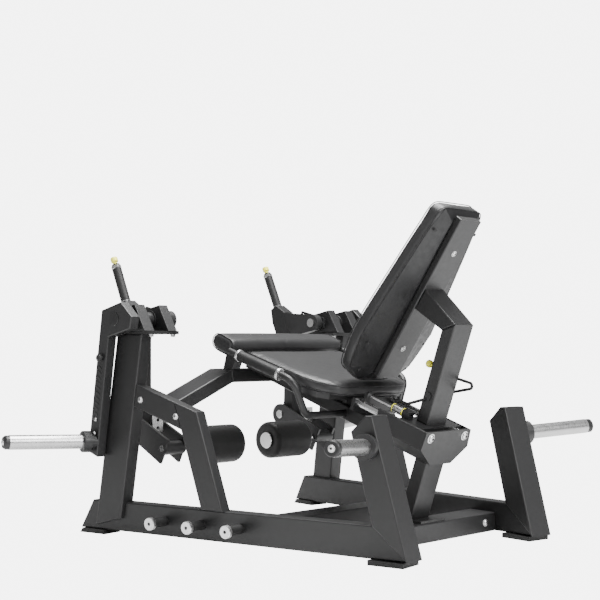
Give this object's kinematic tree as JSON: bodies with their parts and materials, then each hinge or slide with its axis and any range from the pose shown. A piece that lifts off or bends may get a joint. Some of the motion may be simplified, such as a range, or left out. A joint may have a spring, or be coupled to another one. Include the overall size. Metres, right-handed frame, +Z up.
{
  "type": "leg extension machine",
  "caption": "Plate-loaded seated leg extension machine with independent leg arms, foam foot rollers, a sliding reclined backrest, side grips and storage horns on a splayed floor frame.",
  "frame": {"origin": "centre of the bounding box, on the floor", "axes": "+Z up; the user faces -Y; +X is the user's left"},
  "size_m": [1.8698, 1.3931, 1.1375],
  "materials": {
    "frame_paint": "fine textured satin black powder coat",
    "chrome": "polished",
    "satin_steel": "satin plated",
    "vinyl": "black upholstery vinyl with a soft sheen",
    "foam": "dense foam with a smooth skin",
    "rubber": "matt",
    "black_plastic": "fine grain",
    "yellow_plastic": "smooth"
  },
  "bodies": {
    "frame": {"side_rail_left": "frame_paint", "front_post_left": "frame_paint", "rear_post_left": "frame_paint", "side_brace_left": "frame_paint", "side_rail_right": "frame_paint", "front_post_right": "frame_paint", "rear_post_right": "frame_paint", "side_brace_right": "frame_paint", "foot_pads": "rubber", "seat_handle_grips": "rubber", "band_pegs": "rubber", "band_peg_caps": "satin_steel", "frame_bolts": "satin_steel", "seat_handle_collars": "satin_steel", "crossbeams": "frame_paint", "centre_post": "frame_paint", "cross_arch": "frame_paint", "seat_beam": "frame_paint", "pivot_plates": "frame_paint", "bearing_blocks": "frame_paint", "guide_housing": "frame_paint", "rod_brackets": "frame_paint", "seat_handles": "frame_paint", "pad_brackets": "frame_paint", "storage_flanges": "frame_paint", "storage_sleeves": "chrome", "guide_rods": "chrome", "storage_caps": "black_plastic", "seat_pad": "vinyl", "front_pad": "vinyl"},
    "carriage": {"carriage": "frame_paint", "slide_lock": "black_plastic", "backrest_frame": "frame_paint", "backrest_channel": "frame_paint", "backrest_shell": "black_plastic", "backrest_pad": "vinyl"},
    "release_handle": {"release_handle": "frame_paint"},
    "pull_knob": {"pull_knob": "yellow_plastic"},
    "weight_arm_left": {"weight_arm_left": "frame_paint", "pivot_shaft_left": "chrome", "weight_sleeve_left": "chrome", "weight_horn_ends_left": "black_plastic", "sector_plate_left": "frame_paint"},
    "roller_arm_left": {"roller_arm_left": "frame_paint", "roller_fork_left": "frame_paint", "roller_shaft_left": "chrome", "start_handle_left": "rubber"},
    "foot_roller_left": {"foot_roller_left": "foam"},
    "start_button_left": {"start_button_left": "yellow_plastic"},
    "weight_arm_right": {"weight_arm_right": "frame_paint", "pivot_shaft_right": "chrome", "weight_sleeve_right": "chrome", "weight_horn_ends_right": "black_plastic", "sector_plate_right": "frame_paint"},
    "roller_arm_right": {"roller_arm_right": "frame_paint", "roller_fork_right": "frame_paint", "roller_shaft_right": "chrome", "start_handle_right": "rubber"},
    "foot_roller_right": {"foot_roller_right": "foam"},
    "start_button_right": {"start_button_right": "yellow_plastic"}
  },
  "joints": [
    {"name": "weight_arm_left_hinge", "type": "hinge", "parent": "frame", "child": "weight_arm_left", "pos_m": [0.55, -0.40231, 0.755], "axis": [-1, 0, 0], "range_deg": [0, 95]},
    {"name": "roller_arm_left_start", "type": "hinge", "parent": "weight_arm_left", "child": "roller_arm_left", "pos_m": [0.387, -0.40231, 0.755], "axis": [-1, 0, 0], "range_deg": [0, 45]},
    {"name": "foot_roller_left_spin", "type": "hinge", "parent": "roller_arm_left", "child": "foot_roller_left", "pos_m": [0.181, -0.36931, 0.301], "axis": [1, 0, 0], "continuous": true},
    {"name": "start_button_left_press", "type": "slide", "parent": "roller_arm_left", "child": "start_button_left", "axis": [0, 0.4067, -0.9135], "range_m": [0, 0.01], "stiffness_N_per_m": 400},
    {"name": "weight_arm_right_hinge", "type": "hinge", "parent": "frame", "child": "weight_arm_right", "pos_m": [-0.55, -0.40231, 0.755], "axis": [-1, 0, 0], "range_deg": [0, 95]},
    {"name": "roller_arm_right_start", "type": "hinge", "parent": "weight_arm_right", "child": "roller_arm_right", "pos_m": [-0.387, -0.40231, 0.755], "axis": [-1, 0, 0], "range_deg": [0, 45]},
    {"name": "foot_roller_right_spin", "type": "hinge", "parent": "roller_arm_right", "child": "foot_roller_right", "pos_m": [-0.181, -0.36931, 0.301], "axis": [1, 0, 0], "continuous": true},
    {"name": "start_button_right_press", "type": "slide", "parent": "roller_arm_right", "child": "start_button_right", "axis": [0, 0.4067, -0.9135], "range_m": [0, 0.01], "stiffness_N_per_m": 400},
    {"name": "carriage_slide", "type": "slide", "parent": "frame", "child": "carriage", "axis": [0, -0.9426, 0.3338], "range_m": [0, 0.1]},
    {"name": "release_handle_hinge", "type": "hinge", "parent": "carriage", "child": "release_handle", "pos_m": [0, 0.51166, 0.49697], "axis": [1, 0, 0], "range_deg": [0, 12]},
    {"name": "pull_knob_slide", "type": "slide", "parent": "carriage", "child": "pull_knob", "axis": [0, -0.9426, 0.3338], "range_m": [0, 0.012], "stiffness_N_per_m": 500}
  ]
}
